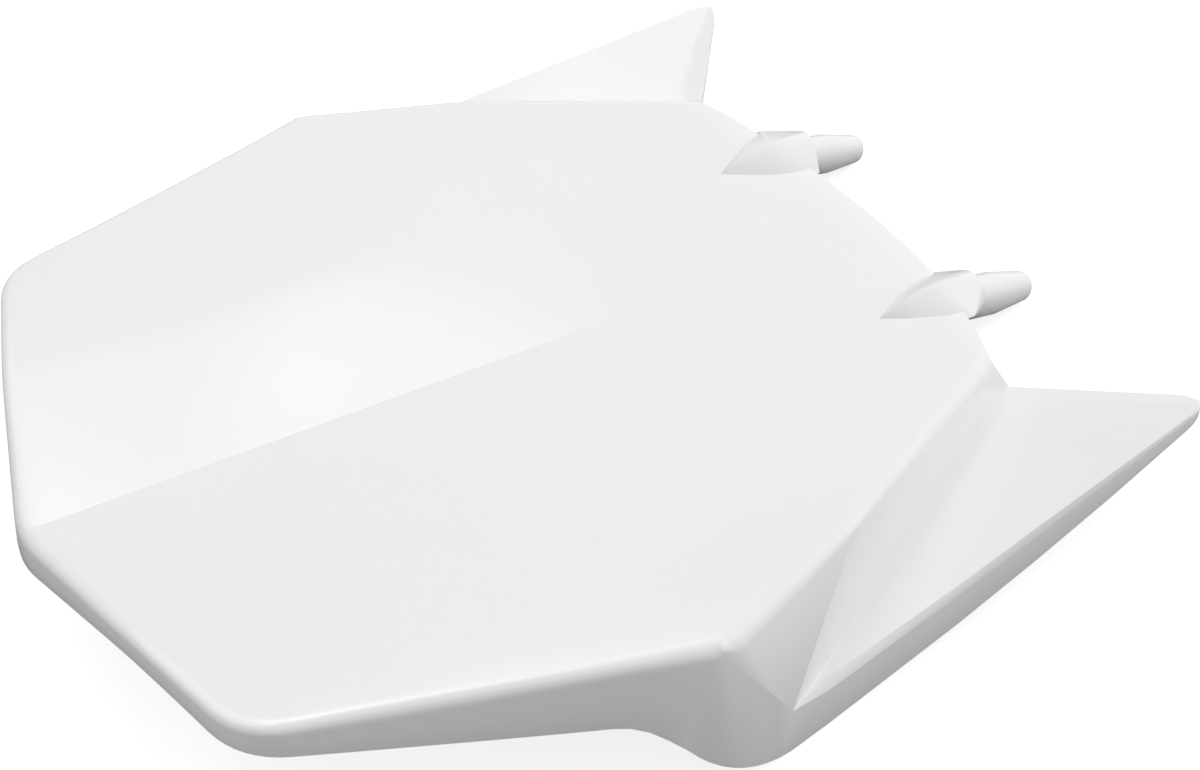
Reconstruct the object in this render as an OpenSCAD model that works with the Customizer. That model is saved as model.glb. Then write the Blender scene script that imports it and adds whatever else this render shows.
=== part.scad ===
// Front number board for a racing motorcycle: one thin moulded shell, face up.
// A sharp centre crease, two soft folds, a turned-down skirt, a wing on each side
// below the widest point, and two pegs that plug into grommets at the lower edge.
// +Y points towards the pegs. Each half is one skin; the other half mirrors it.

/* [Face] */
// Length of the centre crease, from the top edge to the peg edge
crease_l = 251; // [240:0.5:262]
// Half width across the two top corners
top_half_w = 84; // [78:0.5:90]
// How far the top corners sit behind the top of the crease
top_corner_back = 22; // [16:0.5:28]
// Half width across the two widest corners
wide_half_w = 114.3; // [108:0.1:118]
// Distance of the widest corners from the peg edge
wide_y = 132.5; // [128:0.5:140]
// Half width at the bend in the edge over each wing
waist_half_w = 98.8; // [94:0.2:102]
// Distance of that bend from the peg edge
waist_y = 86; // [78:0.5:94]
// Half width across the two lower corners
foot_half_w = 69.5; // [66:0.5:72]
// How far the lower corners sit behind the end of the crease
foot_back = 21; // [17:0.2:24]
// Distance of each soft fold from the crease at the top edge
fold_top_x = 49; // [42:1:56]
// How far the top edge has run back where the fold meets it
fold_top_back = 12; // [8:0.5:14]
// Distance of each soft fold from the crease at the peg edge
fold_foot_x = 41; // [36:1:44]
// How far the peg edge has run back where the fold meets it
fold_foot_back = 5.8; // [3:0.2:8]
// Width over which a soft fold is blended
fold_blend = 5; // [2:0.5:8]

/* [Slopes] */
// Rise of the inner strip beside the crease, at the top edge (degrees)
inner_rise_top = 8.5; // [5:0.1:10]
// Rise of the inner strip beside the crease, at the peg edge (degrees)
inner_rise_foot = 6.2; // [3:0.1:7]
// Rise of the outer strip beyond the fold, at the top edge (degrees)
outer_rise_top = 4.8; // [2:0.1:7]
// Rise of the outer strip beyond the fold, at the peg edge (degrees)
outer_rise_foot = 11.8; // [8:0.1:14]
// Angle by which the crease falls towards the pegs as the board lies (degrees)
lie_angle = 6.3; // [0:0.1:9]

/* [Skirt] */
// Thickness of the moulding
wall = 2.4; // [1.6:0.1:2.5]
// Reach of the rounding where the face turns down
edge_round = 3.5; // [3:0.1:5]
// Draft of the skirt (degrees)
draft = 7; // [2:0.5:10]
// Rounding of the top corners, seen from above
top_corner_round = 10; // [6:0.5:14]
// Rounding of the widest corners, seen from above
wide_corner_round = 7; // [4:0.5:9]
// Depth of the skirt along the top edge
skirt_top = 7; // [5:0.5:12]
// Depth of the skirt at the hollow in its rim
skirt_hollow = 19.5; // [14:0.5:22]
// Distance of that hollow from the widest corner
hollow_l = 19; // [16:0.5:26]
// Depth of the skirt where its lobe begins, under the widest corner
skirt_lobe = 33; // [28:0.5:36]
// How far the lobe flares out beyond the draft
lobe_flare = 4; // [1:0.5:6]
// How far the lobe's rim sags between the widest corner and the heel
lobe_sag = 3; // [2:0.5:8]

/* [Wings] */
// Half width of each wing's heel, under the widest corner
heel_half_w = 122.5; // [120:0.1:125]
// Distance of the heel from the peg edge
heel_y = 118.5; // [115:0.5:122]
// Height of the heel against the crease
heel_z = -10.2; // [-13:0.1:-8]
// Half width of each wing's root at the peg edge
root_half_w = 72.6; // [70.6:0.2:75]
// Distance of the root behind the end of the crease
root_y = 14.7; // [12:0.1:17]
// Height of the root against the crease
root_z = 0; // [-2:0.5:2]
// Half width across the wing tips
tip_half_w = 110.6; // [106:0.2:116]
// How far the wing tips reach past the end of the crease
tip_y = 15.9; // [10:0.1:22]
// Height of the wing tips against the crease
tip_z = 13.8; // [8:0.2:18]
// Rounding of the wing tips
tip_round = 10; // [6:0.5:12]
// Depth of the skirt under the outer edge of the wing, at the heel
wing_skirt_heel = 13.5; // [10:0.5:16]
// Depth of the skirt under the outer edge of the wing, at the tip
wing_skirt_tip = 2.5; // [2.5:0.1:5]
// How much deeper the wing's skirt bows halfway
wing_skirt_bow = 4; // [0:0.5:5]
// Reach of the bevel along the outer edge of the wing
lip = 2; // [1:0.1:2.4]
// Reach of the rounding in the valley beside the wing
valley_round = 1.6; // [0.8:0.1:3]

/* [Pegs] */
// Distance between the two pegs
peg_spacing = 77.2; // [70:0.2:84]
// Angle by which the pegs droop from the line of the crease (degrees)
peg_droop = 9.5; // [6:0.5:13]
// Height of the peg axis against the end of the crease
peg_z = -0.8; // [-1.6:0.1:0.4]
// Diameter of the pin that enters the grommet
pin_d = 12; // [10:0.1:13]
// Length of the parallel part of the pin
pin_straight_l = 9; // [6:0.5:11]
// Length of the tapered part of the pin
pin_taper_l = 8.5; // [6:0.5:10]
// Taper of the pin's radius towards its end
pin_taper = 1.1; // [0.4:0.1:1.6]
// Length of the pin's rounded end
pin_nose_l = 7; // [5:0.5:8]
// Distance of the fairing's sharp nose from the end of the crease
nose_y = 31; // [26:0.5:34]
// Distance of the fairing's end from the end of the crease
fairing_end_y = 0.4; // [0:0.1:2]
// Width of the fairing where it leaves the face, at its end
fairing_w = 23; // [20:0.5:26]
// How much wider the fairing's round end is than the pin
fairing_step = 2.8; // [1.6:0.1:3.4]

/* [Hidden] */
$fn = 48;
epsilon = 1e-4;

// Plan corners of the right half of the face
top_point = [0, -crease_l];
top_fold = [fold_top_x, fold_top_back - crease_l];
top_corner = [top_half_w, top_corner_back - crease_l];
wide_corner = [wide_half_w, -wide_y];
waist = [waist_half_w, -waist_y];
foot_corner = [foot_half_w, -foot_back];
foot_fold = [fold_foot_x, -fold_foot_back];

// Corners of the right wing
heel = [heel_half_w, -heel_y, heel_z];
root = [root_half_w, -root_y, root_z];
tip = [tip_half_w, tip_y, tip_z];

function unit(v) = v / norm(v);
function mix(a, b, t) = a + (b - a) * t;
function left_of(v) = unit([-v[1], v[0]]);
function flat(p) = [p[0], p[1]];
function lift(p, z) = [p[0], p[1], z];

// Three-point curve that leaves a towards b and arrives at c, in n steps
function bend(a, b, c, n) = [for (i = [0:n]) let (t = i / n)
    a * (1 - t) * (1 - t) + b * 2 * t * (1 - t) + c * t * t];
function steps(a, b, n) = [for (i = [1:n]) mix(a, b, i / (n + 1))];

// Corner b of the outline between a and c, moved inwards by d and rounded
function rounded(a, b, c, reach, d, n) =
    let (m = left_of(b - a), k = left_of(c - b))
    bend(b - unit(b - a) * reach + m * d, b + (m + k) * d / (1 + m * k),
         b + unit(c - b) * reach + k * d, n);

// Stations along the half outline, from the top point to the lower corner
FOLD_STEPS = 4;
CORNER_STEPS = 4;
WIDE_STEPS = 8;
SIDE_STEPS = 12;
UPPER_STEPS = 2;
WAIST_STEPS = 2;
LOWER_STEPS = 5;
CORNER_AT = FOLD_STEPS + 4 + CORNER_STEPS / 2;
WIDE_AT = CORNER_AT + CORNER_STEPS / 2 + SIDE_STEPS + 1 + WIDE_STEPS / 2;
HEEL_AT = WIDE_AT + WIDE_STEPS / 2;
WAIST_AT = HEEL_AT + UPPER_STEPS + 1 + WAIST_STEPS / 2;
LAST_AT = WAIST_AT + WAIST_STEPS / 2 + LOWER_STEPS + 1;
WING_STATIONS = LAST_AT - WAIST_AT;
fold_round = 10;
waist_round = 3;

function outline(d) =
    let (
        start = [0, -crease_l + d / left_of(top_fold - top_point)[1]],
        fold = rounded(top_point, top_fold, top_corner, fold_round, d, FOLD_STEPS),
        corner = rounded(top_fold, top_corner, wide_corner, top_corner_round, d, CORNER_STEPS),
        wide = rounded(top_corner, wide_corner, waist, wide_corner_round, d, WIDE_STEPS),
        bent = rounded(wide_corner, waist, foot_corner, waist_round, d, WAIST_STEPS),
        edge = unit(foot_fold - foot_corner),
        foot = foot_corner + edge * d / (edge * left_of(foot_corner - waist))
    )
    concat([start], steps(start, fold[0], 1), fold, steps(fold[FOLD_STEPS], corner[0], 1),
           corner, steps(corner[CORNER_STEPS], wide[0], SIDE_STEPS),
           wide, steps(wide[WIDE_STEPS], bent[0], UPPER_STEPS),
           bent, steps(bent[WAIST_STEPS], foot, LOWER_STEPS), [foot]);

edge_line = outline(0);
face_line = outline(edge_round);
function outward(k) = unit(edge_line[k] - face_line[k]);

// Height of the face: an inner strip beside the crease and an outer strip beyond
// the fold, blended where they meet
slope_power = 3;
function along(y) = (y + crease_l) / crease_l;
function ramp(u) = (u + sqrt(u * u + fold_blend * fold_blend)) / 2;
function face_z(p) =
    let (
        v = along(p[1]),
        inner = tan(mix(inner_rise_top, inner_rise_foot, v)),
        outer = tan(mix(outer_rise_top, outer_rise_foot, pow(v, slope_power))),
        fold_x = mix(fold_top_x, fold_foot_x, v)
    )
    inner * p[0] + (outer - inner) * ramp(p[0] - fold_x);

// One row of the face in plan, from the crease over the fold to its edge
function face_row(r) =
    let (
        end = face_line[CORNER_AT + r],
        first = face_line[CORNER_AT][1],
        v = (end[1] - first) / (face_line[LAST_AT][1] - first),
        start = mix(face_line[0], [0, 0], v),
        turn = mix(face_line[2 + FOLD_STEPS / 2], foot_fold, v),
        fold = bend(turn + unit(start - turn) * fold_round, turn,
                    turn + unit(end - turn) * fold_round, FOLD_STEPS)
    )
    r == 0 ? [for (k = [0:CORNER_AT]) face_line[k]]
           : concat([start], steps(start, fold[0], 1), fold,
                    steps(fold[FOLD_STEPS], end, CORNER_STEPS / 2 + 1), [end]);
FACE_ROWS = LAST_AT - CORNER_AT;
face_plan = [for (r = [0:FACE_ROWS]) face_row(r)];

// Depth of the skirt below the edge of the face, by distance along Y: shallow round the
// top, a hollow, then a lobe that begins with the rounding of the widest corner
hollow_y = -wide_y - hollow_l;
hollow_half_l = 5;
lobe_start = 0.6;
function skirt_depth(y) = lookup(y, [
    [-crease_l, skirt_top],
    [top_fold[1], mix(skirt_top, wall, 0.3)],
    [top_corner[1], skirt_top],
    [hollow_y - hollow_half_l, skirt_hollow - wall / 2],
    [hollow_y + hollow_half_l, skirt_hollow + wall / 2],
    [-wide_y - wide_corner_round, mix(skirt_hollow, skirt_lobe, lobe_start)],
    [-wide_y - wide_corner_round / 3, skirt_lobe]]);

// Directions that carry a corner of the outer skin to the inner skin
function plane(a, b, c) = unit(cross(b - a, c - a));
function between(a, b) = (a + b) / (1 + a * b);
function among(a, b, c) = (cross(a, b) + cross(b, c) + cross(c, a)) / (a * cross(b, c));
waist_top = lift(waist, face_z(waist));
wing_up = plane(heel, tip, root);
wing_out = lift(-left_of(flat(tip - heel)), 0);
cheek_out = plane(waist_top, heel, lift(foot_corner, face_z(foot_corner)));
heel_in = among(wing_up, wing_out, cheek_out);
valley_in = between(wing_up, cheek_out);
lip_in = between(wing_up, wing_out);

corner_belly = 1;
tip_arc = bend(tip + unit(heel - tip) * tip_round, tip, tip + unit(root - tip) * tip_round, 4);
WING_ARC = 2;

// Edge of the face at station k, on the skin d below the outer one
function edge_at(k, d) =
    let (share = mix(1, 0.6, max(0, min(1, (k - WIDE_AT) / (HEEL_AT - WIDE_AT)))))
    lift(mix(edge_line[k], face_line[k], share * d / edge_round), face_z(edge_line[k]) - d);

// Rim of the skirt below a station; the lobe flares out beyond the draft
function rim_under(k, d) =
    let (
        h = skirt_depth(edge_line[k][1]),
        flare = lobe_flare * max(0, (h - skirt_hollow) / (skirt_lobe - skirt_hollow)),
        rim = edge_line[k] + outward(k) * (h * tan(draft) + flare - d)
    )
    lift(rim, face_z(edge_line[k]) - h);
function heel_rim(d) = heel - [0, 0, wing_skirt_heel]
    + wing_out * (wing_skirt_heel * tan(draft) - d);

// Valley between cheek and wing; before the wing starts it lies on the skirt, and
// round the widest corner it runs down to the heel
lobe_share = 0.6;
function valley_at(k, d) =
    k <= WIDE_AT ? mix(edge_at(k, d), rim_under(k, d), lobe_share)
    : k <= HEEL_AT
        ? let (from = valley_at(WIDE_AT, d), to = heel - heel_in * d)
          bend(from, mix(from, to, 0.5) + wing_out * corner_belly, to,
               HEEL_AT - WIDE_AT)[k - WIDE_AT]
    : k <= WAIST_AT ? heel - heel_in * d
    : mix(heel, root, (k - WAIST_AT) / WING_STATIONS) - valley_in * d;

// Outer edge of the wing, which ends in the rounded tip
function lip_at(k, d) =
    k <= WAIST_AT ? valley_at(k, d)
    : let (at = k - WAIST_AT, straight = WING_STATIONS - WING_ARC)
      (at <= straight ? mix(heel, tip_arc[0], at / straight) : tip_arc[at - straight])
      - lip_in * d;

function wing_depth(k) =
    let (
        at = k - WAIST_AT,
        straight = WING_STATIONS - WING_ARC,
        arc_share = tip_round / norm(tip - heel),
        u = at <= straight ? at / straight * (1 - arc_share)
            : 1 - (WING_STATIONS - at) / WING_ARC * arc_share
    )
    mix(wing_skirt_heel, wing_skirt_tip, u) + 4 * wing_skirt_bow * u * (1 - u);
function rim_at(k, d) =
    k <= WIDE_AT ? rim_under(k, d)
    : k <= HEEL_AT
        ? let (from = rim_under(WIDE_AT, d), to = heel_rim(d))
          bend(from, mix(from, to, 0.5) + wing_out * corner_belly - [0, 0, lobe_sag], to,
               HEEL_AT - WIDE_AT)[k - WIDE_AT]
    : k <= WAIST_AT ? heel_rim(d)
    : let (h = wing_depth(k))
      lip_at(k, 0) - [0, 0, h] + wing_out * (h * tan(draft) - d);

// Rounded corner at b between a and c, or b alone, repeated, where reach is zero
function eased(a, b, c, reach, n) =
    reach < epsilon ? [for (i = [0:n]) b]
    : bend(b + unit(a - b) * reach, b, b + unit(c - b) * reach, n);

// Section across the edge at station k: over the rounding, down the cheek, across
// the wing and down to the rim
EDGE_STEPS = 5;
VALLEY_STEPS = 2;
LIP_STEPS = 3;
function section(k, d) =
    let (
        top = lift(face_line[k], face_z(face_line[k]) - d),
        edge = edge_at(k, d),
        valley = valley_at(k, d),
        outer = lip_at(k, d),
        rim = rim_at(k, d),
        grown = max(0, min(1, (k - WAIST_AT) / 2)),
        inner = k == LAST_AT ? tip_arc[3] - lip_in * d : valley,
        down = edge + unit(valley - edge) * norm(edge - top),
        cheek = eased(edge, valley, outer, valley_round * grown, VALLEY_STEPS),
        lips = eased(inner, outer, rim, lip * grown * wing_depth(k) / wing_skirt_heel,
                     LIP_STEPS),
        from = cheek[VALLEY_STEPS],
        across = k == LAST_AT
            ? [mix(from, tip_arc[4] - lip_in * d, 0.5), tip_arc[4] - lip_in * d, inner]
            : steps(from, lips[0], 3)
    )
    concat(bend(top, edge, down, EDGE_STEPS), cheek, across, lips, [rim]);

// Triangles of a net of points, without those that have no area
function split(a, b, c, d) = [[a, b, c], [a, c, d]];
function net(g, flip) = [
    for (r = [0:len(g) - 2]) for (c = [0:len(g[r]) - 2])
        for (t = split(g[r][c], g[r + 1][c], g[r + 1][c + 1], g[r][c + 1]))
            if (norm(cross(t[1] - t[0], t[2] - t[0])) > epsilon)
                flip ? [t[0], t[2], t[1]] : t];

function face_skin(d) = [for (row = face_plan) [for (p = row) lift(p, face_z(p) - d)]];
function edge_skin(d) = [for (k = [0:LAST_AT]) section(k, d)];
function last(v) = v[len(v) - 1];

function half_shell() =
    let (
        face = face_skin(0), face_under = face_skin(wall),
        edge = edge_skin(0), edge_under = edge_skin(wall),
        rim = [[for (s = edge) last(s)], [for (s = edge_under) last(s)]],
        face_end = [last(face_under), last(face)],
        edge_end = [last(edge_under), last(edge)]
    )
    concat(net(face, false), net(face_under, true), net(edge, false), net(edge_under, true),
           net(rim, true), net(face_end, true), net(edge_end, true));

function mirrored(tris) = [for (t = tris) [for (i = [2:-1:0]) [-t[i][0], t[i][1], t[i][2]]]];

// Where the laid board reaches, so that it stands on the ground about its middle
root_l = 6;
pin_l = pin_straight_l + pin_taper_l + pin_nose_l;
pin_end = [0, pin_l * cos(peg_droop) - fairing_end_y,
           peg_z - pin_l * sin(peg_droop) + fairing_end_y * tan(peg_droop)];
function laid(p) = [p[0], p[1] * cos(lie_angle) + p[2] * sin(lie_angle),
                    p[2] * cos(lie_angle) - p[1] * sin(lie_angle)];
laid_rim = [for (k = [0:LAST_AT]) laid(rim_at(k, 0))];
low_z = min([for (p = laid_rim) p[2]]);
back_y = min([for (p = laid_rim) p[1]]);
front_y = laid(pin_end)[1];

module shell() {
    half = half_shell();
    tris = concat(half, mirrored(half));
    polyhedron(points = [for (t = tris) for (p = t) p],
               faces = [for (i = [0:len(tris) - 1]) [3 * i, 3 * i + 1, 3 * i + 2]]);
}

// Pin, revolved about the peg axis: a root inside the fairing, a parallel seat for the
// grommet, a taper and a rounded end
module pin() {
    pin_r = pin_d / 2;
    end_r = pin_r - pin_taper;
    taper_end = pin_straight_l + pin_taper_l;
    profile = concat(
        [[0, -root_l], [pin_r, -root_l], [pin_r, pin_straight_l], [end_r, taper_end]],
        [for (a = [15:15:90]) [end_r * cos(a), taper_end + pin_nose_l * sin(a)]]);
    on_axis(fairing_end_y) rotate([-90, 0, 0]) rotate_extrude() polygon(profile);
}

// Moves its children to the peg axis at a distance y behind the end of the crease
module on_axis(y) {
    translate([peg_spacing / 2, -y, peg_z + y * tan(peg_droop)]) rotate([-peg_droop, 0, 0])
        children();
}

// Teardrop fairing: a straight ridge from a sharp nose on the face to a round end that
// follows the slant of the peg edge; its sides start inside the wall
fairing_stations = 5;
nose_w = 1;
fairing_lap = 0.4;
module fairing() {
    edge_angle = atan2(foot_fold[1] - foot_corner[1], foot_corner[0] - foot_fold[0]);
    nose_x = peg_spacing / 2;
    hull() {
        for (i = [0:fairing_stations], side = [-1, 1]) {
            u = i / fairing_stations;
            half_w = mix(nose_w, fairing_w, sin(90 * u)) / 2;
            x = nose_x + side * half_w;
            y = -mix(nose_y, -foot_fold[1] + side * half_w * tan(edge_angle) / 2, u);
            translate([x, y, face_z([x, y]) - wall / 2]) cylinder(d = nose_w, h = wall / 4, $fn = 8);
        }
        translate([nose_x, -nose_y, face_z([nose_x, -nose_y])]) sphere(d = nose_w, $fn = 8);
        on_axis(fairing_end_y) rotate([90, 0, 0]) linear_extrude(wall / 2)
            translate([0, fairing_step / 2 - fairing_lap])
                circle(d = pin_d + fairing_step, $fn = 32);
    }
}

module number_board() {
    color("white") translate([0, -(back_y + front_y) / 2, -low_z]) rotate([-lie_angle, 0, 0]) {
        shell();
        for (side = [0, 1]) mirror([side, 0, 0]) {
            pin();
            fairing();
        }
    }
}

number_board();
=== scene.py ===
"""Racing number board: one glossy white moulding, lying face up on a pale studio floor."""

import logging
import math
from dataclasses import dataclass, field
from enum import Enum

import bmesh
import bpy
from mathutils import Matrix, Vector

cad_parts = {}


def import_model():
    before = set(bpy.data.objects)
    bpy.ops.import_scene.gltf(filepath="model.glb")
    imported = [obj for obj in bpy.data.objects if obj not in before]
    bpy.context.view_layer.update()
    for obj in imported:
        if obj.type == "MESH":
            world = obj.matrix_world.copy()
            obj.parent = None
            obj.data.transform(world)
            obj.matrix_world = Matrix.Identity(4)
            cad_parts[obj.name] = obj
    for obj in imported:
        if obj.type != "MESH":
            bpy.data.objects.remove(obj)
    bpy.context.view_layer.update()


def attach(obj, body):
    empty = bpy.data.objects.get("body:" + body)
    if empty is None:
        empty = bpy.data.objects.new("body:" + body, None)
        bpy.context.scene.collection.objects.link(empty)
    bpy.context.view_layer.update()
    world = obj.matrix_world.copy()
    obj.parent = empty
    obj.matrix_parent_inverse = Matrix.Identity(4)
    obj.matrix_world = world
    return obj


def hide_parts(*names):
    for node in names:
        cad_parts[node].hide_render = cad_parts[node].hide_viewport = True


MM = 0.001

SRGB_STRAIGHT_END = 0.04045
SRGB_SLOPE = 12.92
SRGB_OFFSET = 0.055
SRGB_POWER = 2.4

log = logging.getLogger("number_board")


class Skin(Enum):
    """The two stretches of one half of the moulding's outer skin."""

    FACE = "face"
    EDGE = "edge"


class Reach(Enum):
    """What a lamp acts on: the matt part of a finish, its gloss, or both."""

    ALL = "all"
    MATT = "matt"
    GLOSS = "gloss"


def linear(hex_colour: str) -> tuple[float, float, float, float]:
    """Turns an sRGB hex colour into linear RGBA.

    Args:
        hex_colour: Six hex digits, with or without a leading hash.

    Returns:
        Red, green, blue and alpha, from 0 to 1.
    """
    digits = hex_colour.lstrip("#")
    channels = [int(digits[i : i + 2], 16) / 255 for i in (0, 2, 4)]
    red, green, blue = (
        c / SRGB_SLOPE
        if c <= SRGB_STRAIGHT_END
        else ((c + SRGB_OFFSET) / (1 + SRGB_OFFSET)) ** SRGB_POWER
        for c in channels
    )
    return red, green, blue, 1.0


def add_node(
    tree: bpy.types.NodeTree,
    kind: str,
    inputs: dict[str | int, object] | None = None,
    **settings: object,
) -> bpy.types.Node:
    """Adds one shader node with its settings, input values and links.

    Args:
        tree: The node tree that takes the node.
        kind: The node's type, without the ShaderNode in front.
        inputs: For each input, by name or place, its value or the socket that feeds it.
        settings: Properties of the node.

    Returns:
        The new node.
    """
    node = tree.nodes.new(f"ShaderNode{kind}")
    for name, value in settings.items():
        setattr(node, name, value)
    for name, value in (inputs or {}).items():
        if isinstance(value, bpy.types.NodeSocket):
            tree.links.new(value, node.inputs[name])
        else:
            node.inputs[name].default_value = value
    return node


def empty_material(name: str) -> tuple[bpy.types.Material, bpy.types.NodeTree]:
    """Makes a material with no nodes.

    Args:
        name: The material's name.

    Returns:
        The material and its node tree.
    """
    material = bpy.data.materials.new(name)
    material.use_nodes = True
    material.node_tree.nodes.clear()
    return material, material.node_tree


@dataclass(frozen=True)
class MouldedPolypropylene:
    """White polypropylene, injection moulded in a polished tool.

    The eye gets a bright even white, a soft gloss with blurred reflections, and the
    faint ripple that cooling leaves in a thin shell.
    """

    name: str = "moulded_polypropylene"
    colour: str = "#F0F0EF"
    flow_colour: str = "#ECECEB"
    smooth: float = 0.14
    dull: float = 0.2
    ior: float = 1.49
    flow_mm: float = 60.0
    flow_detail: float = 3.0
    # Real mould texture is under 0.1 mm; it is drawn at 1.2 mm so that it shows at all
    grain_mm: float = 1.2
    grain_detail: float = 2.0
    grain_strength: float = 0.12
    grain_deep_mm: float = 0.02
    ripple_mm: float = 35.0
    ripple_detail: float = 1.0
    ripple_strength: float = 0.25
    ripple_deep_mm: float = 0.4

    def build(self) -> bpy.types.Material:
        """Makes the material.

        Returns:
            The material, with its pattern on Object coordinates.
        """
        material, tree = empty_material(self.name)
        place = add_node(tree, "TexCoord").outputs["Object"]
        flow = self.noise(tree, place, self.flow_mm, self.flow_detail)
        grain = self.noise(tree, place, self.grain_mm, self.grain_detail)
        ripple = self.noise(tree, place, self.ripple_mm, self.ripple_detail)
        shades = {"A": linear(self.colour), "B": linear(self.flow_colour)}
        colour = add_node(tree, "Mix", {"Factor": flow}, data_type="RGBA")
        for socket in colour.inputs:
            if socket.type == "RGBA":
                socket.default_value = shades[socket.name]
        gloss = add_node(
            tree, "MapRange", {"Value": flow, "To Min": self.smooth, "To Max": self.dull}
        )
        wave = add_node(
            tree,
            "Bump",
            {
                "Height": ripple,
                "Strength": self.ripple_strength,
                "Distance": self.ripple_deep_mm * MM,
            },
        )
        bump = add_node(
            tree,
            "Bump",
            {
                "Height": grain,
                "Strength": self.grain_strength,
                "Distance": self.grain_deep_mm * MM,
                "Normal": wave.outputs["Normal"],
            },
        )
        shader = add_node(
            tree,
            "BsdfPrincipled",
            {
                "Base Color": next(s for s in colour.outputs if s.type == "RGBA"),
                "Roughness": gloss.outputs["Result"],
                "IOR": self.ior,
                "Normal": bump.outputs["Normal"],
            },
        )
        add_node(tree, "OutputMaterial", {"Surface": shader.outputs["BSDF"]})
        return material

    def noise(
        self, tree: bpy.types.NodeTree, place: bpy.types.NodeSocket, size_mm: float, detail: float
    ) -> bpy.types.NodeSocket:
        """Gives a noise whose patches measure size_mm."""
        inputs = {"Vector": place, "Scale": 1 / (size_mm * MM), "Detail": detail}
        return add_node(tree, "TexNoise", inputs).outputs["Fac"]


@dataclass(frozen=True)
class PaleFloor:
    """Matt white studio floor that the camera sees as clean white."""

    name: str = "matt_white_floor"
    colour: str = "#ACACAC"
    roughness: float = 0.8
    shine: float = 0.0
    lift: float = 0.8

    def build(self) -> bpy.types.Material:
        """Makes the material.

        Returns:
            The floor's material: pale paint, lifted to white where the camera looks.
        """
        material, tree = empty_material(self.name)
        paint = add_node(
            tree,
            "BsdfPrincipled",
            {
                "Base Color": linear(self.colour),
                "Roughness": self.roughness,
                "Specular IOR Level": self.shine,
            },
        )
        seen = add_node(tree, "LightPath").outputs["Is Camera Ray"]
        lift = add_node(tree, "Math", {0: seen, 1: self.lift}, operation="MULTIPLY")
        glow = add_node(tree, "Emission", {"Strength": lift.outputs[0]})
        both = add_node(
            tree, "AddShader", {0: paint.outputs["BSDF"], 1: glow.outputs["Emission"]}
        )
        add_node(tree, "OutputMaterial", {"Surface": both.outputs["Shader"]})
        return material


def mix(start: float | Vector, stop: float | Vector, share: float) -> float | Vector:
    """Gives the value that lies a share of the way between two others."""
    return start + (stop - start) * share


def bend(start: Vector, turn: Vector, stop: Vector, steps: int) -> list[Vector]:
    """Gives a three-point curve that leaves start towards turn and ends at stop."""
    shares = [i / steps for i in range(steps + 1)]
    return [start * (1 - s) ** 2 + turn * 2 * s * (1 - s) + stop * s**2 for s in shares]


def inside(start: Vector, stop: Vector, count: int) -> list[Vector]:
    """Gives evenly spaced points between two others, without the two."""
    return [mix(start, stop, (i + 1) / (count + 1)) for i in range(count)]


def eased(start: Vector, turn: Vector, stop: Vector, reach: float, steps: int) -> list[Vector]:
    """Rounds a corner.

    Args:
        start: A point on the first leg.
        turn: The corner.
        stop: A point on the second leg.
        reach: How far along both legs the rounding goes.
        steps: Number of straight pieces.

    Returns:
        The points of the rounding, or the corner repeated where the reach is zero.
    """
    if reach <= 0:
        return [turn.copy() for _ in range(steps + 1)]
    away, on = (start - turn).normalized(), (stop - turn).normalized()
    return bend(turn + away * reach, turn, turn + on * reach, steps)


def left_of(way: Vector) -> Vector:
    """Gives the unit vector to the left of a plan direction."""
    return Vector((-way.y, way.x)).normalized()


def table(at: float, knots: list[tuple[float, float]]) -> float:
    """Reads a value from a short table, by straight lines between its knots.

    Args:
        at: Where the table is read.
        knots: Places and values, in rising order of place.

    Returns:
        The value, which stays the same past both ends.
    """
    for (start, low), (stop, high) in zip(knots, knots[1:]):
        if at <= stop:
            return mix(low, high, max(0.0, at - start) / (stop - start))
    return knots[-1][1]


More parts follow.
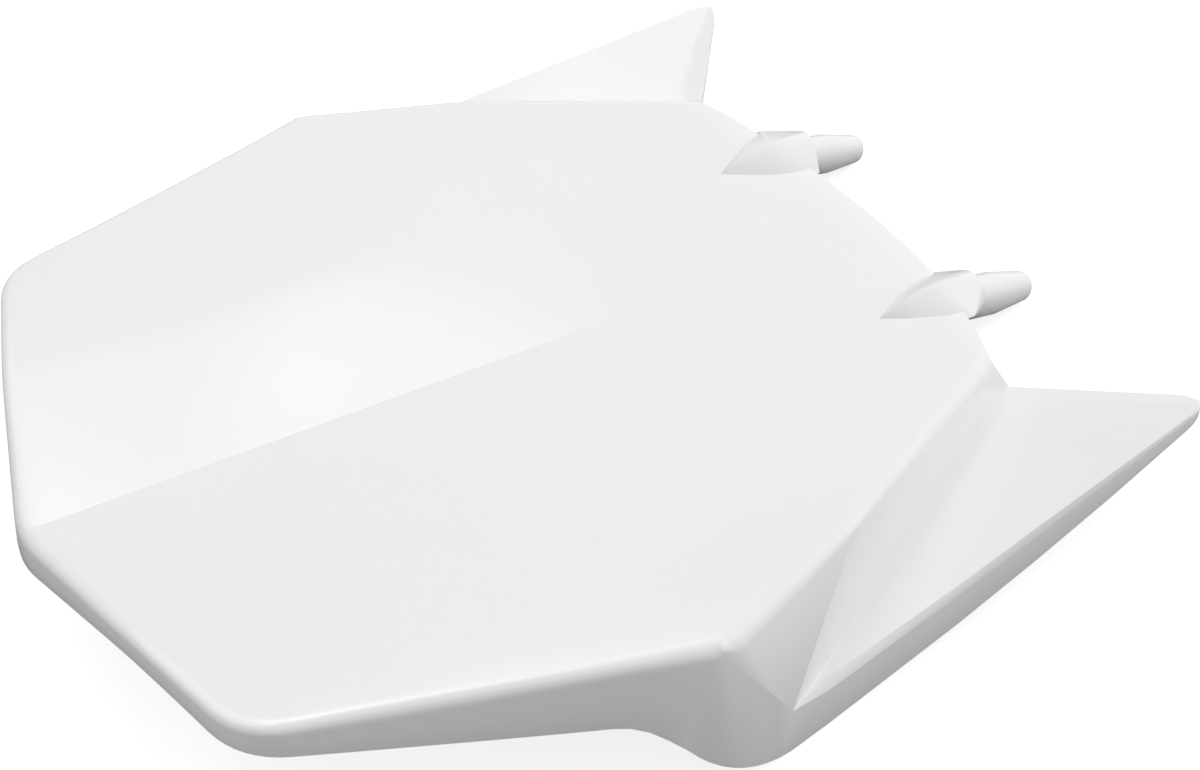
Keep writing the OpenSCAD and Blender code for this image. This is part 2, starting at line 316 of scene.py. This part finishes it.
@dataclass
class NumberBoard:
    """The moulded shell with its crease, folds, skirt, lobes and wings, and its pegs.

    Sizes are in mm and degrees, in the board's own frame: Y runs down the crease and is 0
    at its lower end, and Z is the height above the crease. The shell is drawn as one
    skin, from stations along its outline, and then gets its thickness.
    """

    node: str = "number_board"
    name: str = "number_board_moulding"
    crease_l: float = 251.0
    top_fold: tuple[float, float] = (49.0, -239.0)
    top_corner: tuple[float, float] = (84.0, -229.0)
    wide_corner: tuple[float, float] = (114.3, -132.5)
    waist: tuple[float, float] = (98.8, -86.0)
    foot_corner: tuple[float, float] = (69.5, -21.0)
    foot_fold: tuple[float, float] = (41.0, -5.2)
    top_point_round: float = 8.0
    fold_round: float = 10.0
    foot_round: float = 26.0
    top_corner_round: float = 10.0
    wide_corner_round: float = 4.0
    waist_round: float = 3.0
    edge_round: float = 3.5
    fold_blend: float = 3.0
    inner_rise: tuple[float, float] = (9.2, 5.0)
    outer_rise: tuple[float, float] = (3.9, 14.2)
    outer_power: float = 3.0
    wall: float = 2.4
    draft: float = 7.0
    skirt_point: float = 9.5
    skirt_fold: float = 5.6
    skirt_top: float = 7.0
    skirt_hollow: float = 18.0
    hollow_l: float = 21.6
    hollow_half_l: float = 5.0
    hollow_rise: float = 0.6
    hollow_fall: float = 1.2
    skirt_lobe: float = 33.0
    lobe_flare: float = 4.0
    lobe_bulge: float = 2.2
    depth_ease: float = 2.0
    depth_reads: tuple[int, ...] = (-2, -1, 0, 1, 2)
    skirt_share: float = 0.6
    corner_share: float = 0.12
    corner_ease: float = 3.0
    heel: tuple[float, float, float] = (122.5, -118.5, -10.2)
    root: tuple[float, float, float] = (72.6, -14.7, 0.0)
    tip: tuple[float, float, float] = (110.6, 15.9, 13.8)
    tip_round: float = 10.0
    wing_skirt: tuple[float, float] = (13.1, 2.5)
    wing_skirt_bow: float = 3.4
    first_share: float = 0.085
    valley_round: float = 1.0
    lip: float = 2.6
    lip_flat: float = 0.75
    lie_deg: float = 6.3
    place_mm: tuple[float, float, float] = (0.0, 114.006, 10.5694)
    merge_mm: float = 0.01
    rim_angle_deg: float = 55.0
    rim_radius_mm: float = 0.4
    rim_segments: int = 2
    smooth_deg: float = 26.0
    point_steps: int = 4
    fold_steps: int = 8
    corner_steps: int = 8
    side_steps: int = 20
    wide_steps: int = 8
    upper_steps: int = 2
    waist_steps: int = 2
    lower_steps: int = 7
    edge_steps: int = 8
    valley_steps: int = 4
    across_steps: int = 3
    lip_steps: int = 4
    tip_steps: int = 8
    finish: MouldedPolypropylene = field(default_factory=MouldedPolypropylene)

    def __post_init__(self) -> None:
        """Numbers the stations and draws the outline of the face and of its edge."""
        self.fold_at = self.point_steps + 2 + self.fold_steps // 2
        self.corner_at = self.fold_at + self.fold_steps // 2 + 2 + self.corner_steps // 2
        first_wide = self.corner_at + self.corner_steps // 2 + self.side_steps + 1
        self.wide_at = first_wide + self.wide_steps // 2
        self.lobe_at = first_wide - 1
        self.heel_at = first_wide + self.wide_steps
        self.waist_at = self.heel_at + self.upper_steps + 1 + self.waist_steps // 2
        self.last_at = self.waist_at + self.waist_steps // 2 + self.lower_steps + 1
        self.wing_stations = self.last_at - self.waist_at
        self.arc_stations = self.tip_steps // 2
        self.edge_line = self.outline(0.0)
        self.face_line = self.outline(self.edge_round)
        heel, root, tip = Vector(self.heel), Vector(self.root), Vector(self.tip)
        self.wing_out = (-left_of((tip - heel).to_2d())).to_3d()
        self.tip_arc = bend(
            tip + (heel - tip).normalized() * self.tip_round,
            tip,
            tip + (root - tip).normalized() * self.tip_round,
            self.tip_steps,
        )

    def build(self) -> bpy.types.Object:
        """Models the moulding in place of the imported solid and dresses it.

        Returns:
            The finished piece.
        """
        piece = self.draw_skin()
        self.thicken(piece)
        self.add_pegs(piece)
        self.round_rim(piece)
        bpy.ops.object.shade_smooth_by_angle(angle=math.radians(self.smooth_deg))
        piece.data.materials.clear()
        piece.data.materials.append(self.finish.build())
        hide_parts(self.node)
        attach(piece, "root")
        log.info("%s: %d faces", piece.name, len(piece.data.polygons))
        return piece

    def rounded(
        self, start: Vector, turn: Vector, stop: Vector, reach: float, inset: float, steps: int
    ) -> list[Vector]:
        """Draws a rounded corner of the plan, set in from the outline.

        Args:
            start: The corner before.
            turn: The corner.
            stop: The corner after.
            reach: How far along both legs the rounding goes.
            inset: Distance inside the outline.
            steps: Number of straight pieces.

        Returns:
            The points of the rounding.
        """
        first, then = left_of(turn - start), left_of(stop - turn)
        return bend(
            turn - (turn - start).normalized() * reach + first * inset,
            turn + (first + then) * inset / (1 + first.dot(then)),
            turn + (stop - turn).normalized() * reach + then * inset,
            steps,
        )

    def outline(self, inset: float) -> list[Vector]:
        """Draws half the outline in plan, from the top point to the lower corner.

        Args:
            inset: Distance inside the outline.

        Returns:
            One point for each station.
        """
        top = Vector((0.0, -self.crease_l))
        fold, corner, wide, waist, foot, foot_fold = (
            Vector(place)
            for place in (
                self.top_fold,
                self.top_corner,
                self.wide_corner,
                self.waist,
                self.foot_corner,
                self.foot_fold,
            )
        )
        leg = (fold - top).normalized() * self.top_point_round
        point = top + Vector((0.0, inset / left_of(fold - top).y))
        mirrored_leg = Vector((-leg.x, leg.y))
        start = bend(point + mirrored_leg, point, point + leg, 2 * self.point_steps)
        line = start[self.point_steps :]
        for before, here, after, reach, steps, gap in (
            (top, fold, corner, self.fold_round, self.fold_steps, 1),
            (fold, corner, wide, self.top_corner_round, self.corner_steps, 1),
            (corner, wide, waist, self.wide_corner_round, self.wide_steps, self.side_steps),
            (wide, waist, foot, self.waist_round, self.waist_steps, self.upper_steps),
        ):
            turn = self.rounded(before, here, after, reach, inset, steps)
            line += inside(line[-1], turn[0], gap) + turn
        edge = (foot_fold - foot).normalized()
        end = foot + edge * inset / edge.dot(left_of(foot - waist))
        return line + inside(line[-1], end, self.lower_steps) + [end]

    def along(self, y: float) -> float:
        """Gives how far down the crease a point lies, from 0 to 1."""
        return (y + self.crease_l) / self.crease_l

    def on_face(self, plan: Vector) -> Vector:
        """Puts a plan point on the face: an inner strip, and an outer one past the fold.

        Args:
            plan: The point in plan.

        Returns:
            The point, with its height above the crease.
        """
        share = self.along(plan.y)
        inner = math.tan(math.radians(mix(*self.inner_rise, share)))
        outer = math.tan(math.radians(mix(*self.outer_rise, max(0.0, share) ** self.outer_power)))
        past = plan.x - mix(self.top_fold[0], self.foot_fold[0], share)
        ramp = (past + math.hypot(past, self.fold_blend)) / 2
        return Vector((plan.x, plan.y, inner * plan.x + (outer - inner) * ramp))

    def face_rows(self) -> list[list[Vector]]:
        """Draws the face from the top edge to the peg edge.

        Returns:
            The rows of points, each from the crease to the edge.
        """
        rows = [[self.on_face(plan) for plan in self.face_line[: self.corner_at + 1]]]
        first, last = self.face_line[self.corner_at].y, self.face_line[self.last_at].y
        crease, fold = self.face_line[0], self.face_line[self.fold_at]
        for end in self.face_line[self.corner_at + 1 : self.last_at + 1]:
            share = (end.y - first) / (last - first)
            start = mix(crease, Vector((0.0, 0.0)), share)
            turn = mix(fold, Vector(self.foot_fold), share)
            reach = mix(self.fold_round, self.foot_round, share**2)
            curve = eased(start, turn, end, reach, self.fold_steps)
            row = [start] + inside(start, curve[0], self.point_steps + 1) + curve
            row += inside(curve[-1], end, self.corner_steps // 2 + 1) + [end]
            rows.append([self.on_face(plan) for plan in row])
        return rows

    def skirt_depth(self, y: float) -> float:
        """Gives the skirt's depth: shallow round the top, then a hollow, then the lobe.

        Args:
            y: Distance along the crease.

        Returns:
            The depth below the edge of the face, evened out over a short stretch.
        """
        hollow = self.wide_corner[1] - self.hollow_l
        knots = [
            (-self.crease_l, self.skirt_point),
            (self.top_fold[1], self.skirt_fold),
            (self.top_corner[1], self.skirt_top),
            (hollow - self.hollow_half_l, self.skirt_hollow - self.hollow_rise),
            (hollow, self.skirt_hollow),
            (hollow + self.hollow_half_l, self.skirt_hollow + self.hollow_fall),
            (self.wide_corner[1], self.skirt_lobe),
        ]
        depths = [table(y + i * self.depth_ease, knots) for i in self.depth_reads]
        return sum(depths) / len(depths)

    def edge_at(self, k: int) -> Vector:
        """Gives the edge of the face at a station, before it is rounded."""
        return self.on_face(self.edge_line[k])

    def rim_under(self, k: int) -> Vector:
        """Gives the rim of the skirt, which flares out at the lobe.

        Args:
            k: Station along the outline.

        Returns:
            The lowest point of the outer skin.
        """
        edge = self.edge_at(k)
        depth = self.skirt_depth(edge.y)
        out = (self.edge_line[k] - self.face_line[k]).normalized().to_3d()
        share = max(0.0, (depth - self.skirt_hollow) / (self.skirt_lobe - self.skirt_hollow))
        reach = depth * math.tan(math.radians(self.draft)) + self.lobe_flare * share
        return edge + out * reach - Vector((0, 0, depth))

    def drafted(self, edge: Vector, depth: float) -> Vector:
        """Gives the rim a depth below the outer edge of the wing."""
        out = self.wing_out * depth * math.tan(math.radians(self.draft))
        return edge + out - Vector((0, 0, depth))

    def rim_at(self, k: int) -> Vector:
        """Gives the rim at a station: skirt, lobe, heel or wing.

        Args:
            k: Station along the outline.

        Returns:
            The lowest point of the outer skin.
        """
        heel_rim = self.drafted(Vector(self.heel), self.wing_skirt[0])
        if k <= self.lobe_at:
            return self.rim_under(k)
        if k <= self.heel_at:
            start, low = self.rim_under(self.lobe_at), self.rim_under(self.wide_at)
            out = (self.edge_line[self.wide_at] - self.face_line[self.wide_at]).normalized()
            turn = (low + out.to_3d() * self.lobe_bulge) * 2 - (start + heel_rim) / 2
            return bend(start, turn, heel_rim, self.heel_at - self.lobe_at)[k - self.lobe_at]
        if k <= self.waist_at:
            return heel_rim
        return self.drafted(self.lip_at(k), self.wing_depth(k))

    def wing_share(self, at: int, count: int) -> float:
        """Gives the place of a wing station; the first one lies close to the heel."""
        return self.first_share if at == 1 else at / count

    def valley_at(self, k: int) -> Vector:
        """Gives the valley between cheek and wing, which starts on the skirt of the lobe.

        Args:
            k: Station along the outline.

        Returns:
            The point of the valley.
        """
        heel = Vector(self.heel)
        if k <= self.wide_at:
            down = (self.wide_at - k) / (self.wide_at - self.lobe_at)
            share = max(self.skirt_share * min(1.0, down), self.corner_share)
            return mix(self.edge_at(k), self.rim_at(k), share)
        if k <= self.heel_at:
            share = (k - self.wide_at) / (self.heel_at - self.wide_at)
            return mix(self.valley_at(self.wide_at), heel, share)
        if k <= self.waist_at:
            return heel
        return mix(heel, Vector(self.root), self.wing_share(k - self.waist_at, self.wing_stations))

    def lip_at(self, k: int) -> Vector:
        """Gives the outer edge of the wing, which ends in the rounded tip.

        Args:
            k: Station along the outline, from the waist on.

        Returns:
            The point of the edge, before its lip is cut.
        """
        at, straight = k - self.waist_at, self.wing_stations - self.arc_stations
        if at <= straight:
            return mix(Vector(self.heel), self.tip_arc[0], self.wing_share(at, straight))
        return self.tip_arc[at - straight].copy()

    def wing_depth(self, k: int) -> float:
        """Gives the depth of the skirt under the wing's outer edge.

        Args:
            k: Station along the outline, from the waist on.

        Returns:
            The depth, which shrinks towards the tip along a slight bow.
        """
        at, straight = k - self.waist_at, self.wing_stations - self.arc_stations
        arc = self.tip_round / (Vector(self.tip) - Vector(self.heel)).length
        if at <= straight:
            share = self.wing_share(at, straight) * (1 - arc)
        else:
            share = 1 - (self.wing_stations - at) / self.arc_stations * arc
        return mix(*self.wing_skirt, share) + self.wing_skirt_bow * (1 - (2 * share - 1) ** 2)

    def section(self, k: int) -> list[Vector]:
        """Draws the edge at a station: rounding, cheek, valley, wing, lip and rim.

        Args:
            k: Station along the outline.

        Returns:
            The points from the face to the rim, as many at every station.
        """
        top, edge = self.on_face(self.face_line[k]), self.edge_at(k)
        valley, rim = self.valley_at(k), self.rim_at(k)
        fall = (valley - edge).length
        down = edge + (valley - edge).normalized() * min((edge - top).length, fall / 2)
        rounding = bend(top, edge, down, self.edge_steps)
        if k <= self.waist_at:
            swing = (k - self.wide_at) / (self.heel_at - self.wide_at)
            reach = self.corner_ease * max(0.0, 1 - abs(2 * swing - 1))
            cheek = eased(down, valley, rim, reach, self.valley_steps)
            rest = [cheek[-1]] * (self.across_steps + self.lip_steps + 1)
            return rounding + cheek + rest + [rim]
        outer = self.lip_at(k)
        room = (outer - valley).length / 2
        cheek = eased(down, valley, outer, min(self.valley_round, room), self.valley_steps)
        bevel = min(room, self.lip * self.wing_depth(k) / self.wing_skirt[0])
        if k < self.last_at:
            lips = self.lips(valley, outer, rim, bevel)
            return rounding + cheek + inside(cheek[-1], lips[0], self.across_steps) + lips + [rim]
        end, before = self.tip_arc[-1], self.tip_arc[self.arc_stations + 1 : -1]
        lips = self.lips(before[0], outer, rim, bevel)
        across = [mix(cheek[-1], end, 0.5), end, before[-1]]
        return rounding + cheek + across + lips + [rim]

    def lips(self, start: Vector, turn: Vector, stop: Vector, reach: float) -> list[Vector]:
        """Draws the lip of the wing: a chamfer with a slight crown.

        Args:
            start: A point of the wing.
            turn: The outer edge of the wing.
            stop: A point of the skirt below.
            reach: How far the lip goes along both.

        Returns:
            The points of the lip.
        """
        curve = eased(start, turn, stop, reach, self.lip_steps)
        chord = [mix(curve[0], curve[-1], i / self.lip_steps) for i in range(len(curve))]
        return [mix(high, low, self.lip_flat) for high, low in zip(curve, chord)]

    def crisp(self, kind: Skin, row: int, column: int, to_row: int, to_column: int) -> bool:
        """Tells whether an edge of the skin is a crisp line of the moulding.

        Args:
            kind: The stretch of skin.
            row: Row of the first end.
            column: Column of the first end.
            to_row: Row of the second end.
            to_column: Column of the second end.

        Returns:
            True on the crease, the ridge in the cheek, the valley's foot and both lines of
            the wing's lip.
        """
        if kind is Skin.FACE:
            return column == to_column == 0
        valley = self.edge_steps + 1 + self.valley_steps
        lip = valley + 1 + self.across_steps
        on_ridge = row == to_row == self.waist_at and self.edge_steps <= column < valley
        on_wing = row != to_row and row >= self.waist_at
        lines = (valley, lip, lip + self.lip_steps)
        return on_ridge or (on_wing and column == to_column and column in lines)

    def draw_skin(self) -> bpy.types.Object:
        """Draws the right half of the outer skin as one sheet.

        Returns:
            The half skin, selected and active.
        """
        edges = [self.section(k) for k in range(self.last_at + 1)]
        mesh = bmesh.new()
        for kind, grid in ((Skin.FACE, self.face_rows()), (Skin.EDGE, edges)):
            corners_of = [[mesh.verts.new(self.laid(point)) for point in row] for row in grid]
            for r in range(len(grid) - 1):
                for c in range(len(grid[r]) - 1):
                    ring = ((r, c + 1), (r + 1, c + 1), (r + 1, c), (r, c))
                    face = mesh.faces.new([corners_of[i][j] for i, j in ring])
                    for loop, here, there in zip(face.loops, ring, ring[1:] + ring[:1]):
                        (row, column), (to_row, to_column) = sorted((here, there))
                        if self.crisp(kind, row, column, to_row, to_column):
                            loop.edge.smooth = False
        bmesh.ops.remove_doubles(mesh, verts=mesh.verts, dist=self.merge_mm * MM)
        bmesh.ops.dissolve_degenerate(mesh, edges=mesh.edges, dist=self.merge_mm * MM)
        data = bpy.data.meshes.new(self.name)
        mesh.to_mesh(data)
        mesh.free()
        piece = bpy.data.objects.new(self.name, data)
        bpy.context.scene.collection.objects.link(piece)
        bpy.ops.object.select_all(action="DESELECT")
        piece.select_set(True)
        bpy.context.view_layer.objects.active = piece
        return piece

    def laid(self, point: Vector) -> Vector:
        """Turns a point of the board's own frame to where the board lies, in metres."""
        lie = Matrix.Rotation(math.radians(-self.lie_deg), 3, "X")
        return (lie @ point + Vector(self.place_mm)) * MM

    def thicken(self, piece: bpy.types.Object) -> None:
        """Mirrors the half skin and gives the sheet its wall, on the inside.

        Args:
            piece: The half skin, active.
        """
        mirror = piece.modifiers.new("other_half", "MIRROR")
        mirror.merge_threshold = self.merge_mm * MM
        wall = piece.modifiers.new("wall", "SOLIDIFY")
        wall.thickness, wall.offset = self.wall * MM, -1.0
        wall.use_even_offset = True
        wall.use_quality_normals = True
        for name in ("other_half", "wall"):
            bpy.ops.object.modifier_apply(modifier=name)

    def add_pegs(self, piece: bpy.types.Object) -> None:
        """Models both pegs and joins them to the shell.

        Args:
            piece: The shell.
        """
        drawn = Peg()
        for side in (1, -1):
            peg = drawn.build(self, side)
            for part in (peg, piece):
                part.select_set(True)
            bpy.context.view_layer.objects.active = piece
            bpy.ops.object.join()

    def round_rim(self, piece: bpy.types.Object) -> None:
        """Rounds the outer corners of the sheet a little.

        Args:
            piece: The shell with its pegs, active.
        """
        bpy.ops.object.mode_set(mode="EDIT")
        bpy.ops.mesh.select_mode(type="EDGE")
        bpy.ops.mesh.select_all(action="DESELECT")
        mesh = bmesh.from_edit_mesh(piece.data)
        for edge in mesh.edges:
            edge.select_set(self.on_rim(edge))
        bmesh.update_edit_mesh(piece.data)
        bpy.ops.mesh.bevel(
            offset=self.rim_radius_mm * MM, segments=self.rim_segments, clamp_overlap=True
        )
        bpy.ops.object.mode_set(mode="OBJECT")

    def on_rim(self, edge: bmesh.types.BMEdge) -> bool:
        """Tells whether an edge is an outer corner of the sheet."""
        return (
            edge.is_manifold
            and edge.is_convex
            and edge.calc_face_angle() > math.radians(self.rim_angle_deg)
        )


@dataclass
class Peg:
    """A plug-in pin with the teardrop fairing that carries it. Sizes in mm and degrees."""

    off_crease: float = 38.6
    droop_deg: float = 9.5
    axis_z: float = -0.8
    end_y: float = 0.4
    pin_d: float = 12.0
    pin_taper: float = 1.6
    pin_l: float = 23.2
    straight_l: float = 9.0
    root_l: float = 6.0
    end_round: float = 3.0
    end_steps: int = 6
    nose_y: float = 31.0
    nose_in: float = 0.8
    nose_r: float = 0.5
    foot_half_w: float = 11.5
    collar: float = 0.9
    collar_lift: float = 1.4
    sink: float = 1.2
    arch: float = 1.9
    arch_power: float = 1.5
    ridge_power: float = 1.3
    stations: int = 14
    ring_steps: int = 24
    turn_steps: int = 64

    def build(self, board: NumberBoard, side: int) -> bpy.types.Object:
        """Models one peg.

        Args:
            board: The shell that carries the peg.
            side: 1 for the right peg and -1 for the left one.

        Returns:
            The peg, fairing and pin, as closed shapes in one mesh.
        """
        mesh = bmesh.new()
        self.add_pin(mesh)
        self.add_fairing(mesh, board)
        for vert in mesh.verts:
            vert.co = board.laid(Vector((side * vert.co.x, vert.co.y, vert.co.z)))
        bmesh.ops.recalc_face_normals(mesh, faces=mesh.faces)
        data = bpy.data.meshes.new("peg")
        mesh.to_mesh(data)
        mesh.free()
        peg = bpy.data.objects.new("peg", data)
        bpy.context.scene.collection.objects.link(peg)
        return peg

    def on_axis(self, out: float, along: float, turn: float) -> Vector:
        """Gives a point about the peg's axis.

        Args:
            out: Distance from the axis.
            along: Distance past the fairing's end.
            turn: Angle about the axis, from straight up (radians).

        Returns:
            The point, in the board's own frame.
        """
        droop = math.radians(self.droop_deg)
        way = Vector((0, math.cos(droop), -math.sin(droop)))
        up = Vector((0, math.sin(droop), math.cos(droop)))
        base = Vector((self.off_crease, -self.end_y, self.axis_z + self.end_y * math.tan(droop)))
        return base + way * along + (up * math.cos(turn) + Vector((1, 0, 0)) * math.sin(turn)) * out

    def add_pin(self, mesh: bmesh.types.BMesh) -> None:
        """Turns the pin: a parallel seat, a slight taper and a rounded end.

        Args:
            mesh: The mesh that takes the pin.
        """
        radius, end = self.pin_d / 2, self.pin_d / 2 - self.pin_taper
        profile = [(radius, -self.root_l), (radius, 0.0), (radius, self.straight_l)]
        for i in range(self.end_steps + 1):
            angle = math.radians(90 / self.end_steps * i)
            out = end - self.end_round * (1 - math.cos(angle))
            profile.append((out, self.pin_l - self.end_round * (1 - math.sin(angle))))
        rings = [
            [
                mesh.verts.new(self.on_axis(out, along, 2 * math.pi * i / self.turn_steps))
                for i in range(self.turn_steps)
            ]
            for out, along in profile
        ]
        for ring, after in zip(rings, rings[1:]):
            for i in range(self.turn_steps):
                j = (i + 1) % self.turn_steps
                mesh.faces.new((ring[i], ring[j], after[j], after[i]))
        mesh.faces.new(rings[0])
        mesh.faces.new(rings[-1])

    def add_fairing(self, mesh: bmesh.types.BMesh, board: NumberBoard) -> None:
        """Draws the fairing: arches that grow from a sharp nose to the round collar.

        Args:
            mesh: The mesh that takes the fairing.
            board: The shell that carries it.
        """
        nose = Vector((self.off_crease - self.nose_in, -self.nose_y))
        slant = (board.foot_fold[1] - board.foot_corner[1]) / (
            board.foot_corner[0] - board.foot_fold[0]
        )
        radius = self.pin_d / 2 + self.collar
        crown = self.on_axis(radius + self.collar_lift, 0.0, 0.0)
        points = []
        for i in range(self.stations + 1):
            share = i / self.stations
            half_w = mix(self.nose_r, self.foot_half_w, math.sin(math.pi / 2 * share))
            middle = mix(nose, Vector((self.off_crease, board.foot_fold[1])), share)
            swell = self.arch * math.sin(math.pi * share**self.arch_power)
            height = mix(board.on_face(nose).z, crown.z, share) + swell
            for j in range(self.ring_steps + 1):
                angle = math.pi * j / self.ring_steps
                across = half_w * math.cos(angle)
                plan = middle + Vector((across, -across * slant / 2 * share))
                plan.y = min(plan.y, crown.y)
                base = board.on_face(plan).z - self.sink
                lift = max(0.0, height - base) * (1 - abs(math.cos(angle)) ** self.ridge_power)
                points.append(Vector((plan.x, plan.y, base + lift)))
        for i in range(self.turn_steps):
            turn = 2 * math.pi * i / self.turn_steps
            rise = self.collar_lift * math.cos(turn)
            points.append(self.on_axis(radius + rise, 0.0, turn))
        hull = bmesh.new()
        for point in points:
            hull.verts.new(point)
        made = bmesh.ops.convex_hull(hull, input=hull.verts)
        spare = set(made["geom_interior"]) | set(made["geom_unused"])
        bmesh.ops.delete(
            hull, geom=[g for g in spare if isinstance(g, bmesh.types.BMVert)], context="VERTS"
        )
        copies = {vert: mesh.verts.new(vert.co) for vert in hull.verts}
        for face in hull.faces:
            mesh.faces.new([copies[vert] for vert in face.verts])
        hull.free()


@dataclass
class Lamp:
    """One square soft box that faces the board."""

    name: str
    place_m: tuple[float, float, float]
    side_m: float
    power_w: float
    reach: Reach = Reach.ALL

    def build(self) -> None:
        """Hangs the lamp."""
        data = bpy.data.lights.new(self.name, "AREA")
        data.shape, data.size, data.energy = "SQUARE", self.side_m, self.power_w
        lamp = bpy.data.objects.new(self.name, data)
        lamp.location = self.place_m
        lamp.rotation_euler = (-Vector(self.place_m)).to_track_quat("-Z", "Y").to_euler()
        lamp.visible_diffuse = self.reach is not Reach.GLOSS
        lamp.visible_glossy = self.reach is not Reach.MATT
        bpy.context.scene.collection.objects.link(lamp)


@dataclass
class Studio:
    """Pale floor, white surroundings and soft boxes."""

    floor_half_m: float = 4.0
    world_strength: float = 0.48
    seen_strength: float = 1.0
    surround: str = "#FFFFFF"
    lamps: tuple[Lamp, ...] = (
        Lamp("overhead_softbox", (-0.7, -0.4, 1.65), 1.4, 9.6),
        Lamp("peg_side_softbox", (0.3, 2.1, 1.8), 1.5, 30.0, Reach.MATT),
        Lamp("low_peg_side_softbox", (0.6, 1.9, 0.25), 0.8, 6.5, Reach.MATT),
        Lamp("far_softbox", (-0.75, 0.29, 1.34), 0.34, 0.35, Reach.GLOSS),
        Lamp("far_peg_side_softbox", (-0.71, 0.54, 1.25), 0.34, 0.75, Reach.GLOSS),
        Lamp("high_softbox", (-0.34, 0.19, 1.45), 0.55, 2.6, Reach.GLOSS),
    )

    def build(self) -> None:
        """Builds the floor, the surroundings and the lamps."""
        self.add_floor()
        self.light_world()
        for lamp in self.lamps:
            lamp.build()

    def add_floor(self) -> None:
        """Lays the floor under the board."""
        bpy.ops.object.select_all(action="DESELECT")
        bpy.ops.mesh.primitive_plane_add(size=2 * self.floor_half_m, location=(0, 0, 0))
        floor = bpy.context.object
        floor.name = "floor"
        floor.data.materials.append(PaleFloor().build())

    def light_world(self) -> None:
        """Sets even light all round, which the camera and reflections see as plain white."""
        world = bpy.data.worlds.new("white_surroundings")
        bpy.context.scene.world = world
        world.use_nodes = True
        tree = world.node_tree
        tree.nodes.clear()
        rays = add_node(tree, "LightPath").outputs
        seen = rays["Is Camera Ray"]
        for kind in ("Is Glossy Ray", "Is Transmission Ray"):
            seen = add_node(tree, "Math", {0: seen, 1: rays[kind]}, operation="MAXIMUM").outputs[0]
        strength = add_node(
            tree,
            "MapRange",
            {"Value": seen, "To Min": self.world_strength, "To Max": self.seen_strength},
        )
        background = add_node(
            tree,
            "Background",
            {"Color": linear(self.surround), "Strength": strength.outputs["Result"]},
        )
        add_node(tree, "OutputWorld", {"Surface": background.outputs["Background"]})


@dataclass
class Viewpoint:
    """Camera above one lower corner, a little tipped, as in the photograph."""

    place_mm: tuple[float, float, float] = (275.83, -124.06, 315.86)
    aim_mm: tuple[float, float, float] = (18.95, 8.18, 20.0)
    roll_deg: float = -5.036
    lens_mm: float = 48.0
    sensor_mm: float = 36.0

    def build(self) -> None:
        """Makes the camera and gives it to the scene."""
        data = bpy.data.cameras.new("camera")
        data.sensor_fit, data.sensor_width, data.lens = "HORIZONTAL", self.sensor_mm, self.lens_mm
        camera = bpy.data.objects.new("camera", data)
        place = Vector(self.place_mm) * MM
        look = (Vector(self.aim_mm) * MM - place).to_track_quat("-Z", "Y")
        roll = Matrix.Rotation(math.radians(self.roll_deg), 4, "Z")
        camera.matrix_world = Matrix.Translation(place) @ look.to_matrix().to_4x4() @ roll
        bpy.context.scene.collection.objects.link(camera)
        bpy.context.scene.camera = camera


def main() -> None:
    """Builds the board and its studio."""
    logging.basicConfig(level=logging.INFO, format="%(name)s: %(message)s")
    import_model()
    bpy.context.scene.view_settings.view_transform = "Standard"
    Viewpoint().build()
    NumberBoard().build()
    Studio().build()


if __name__ == "__main__":
    main()
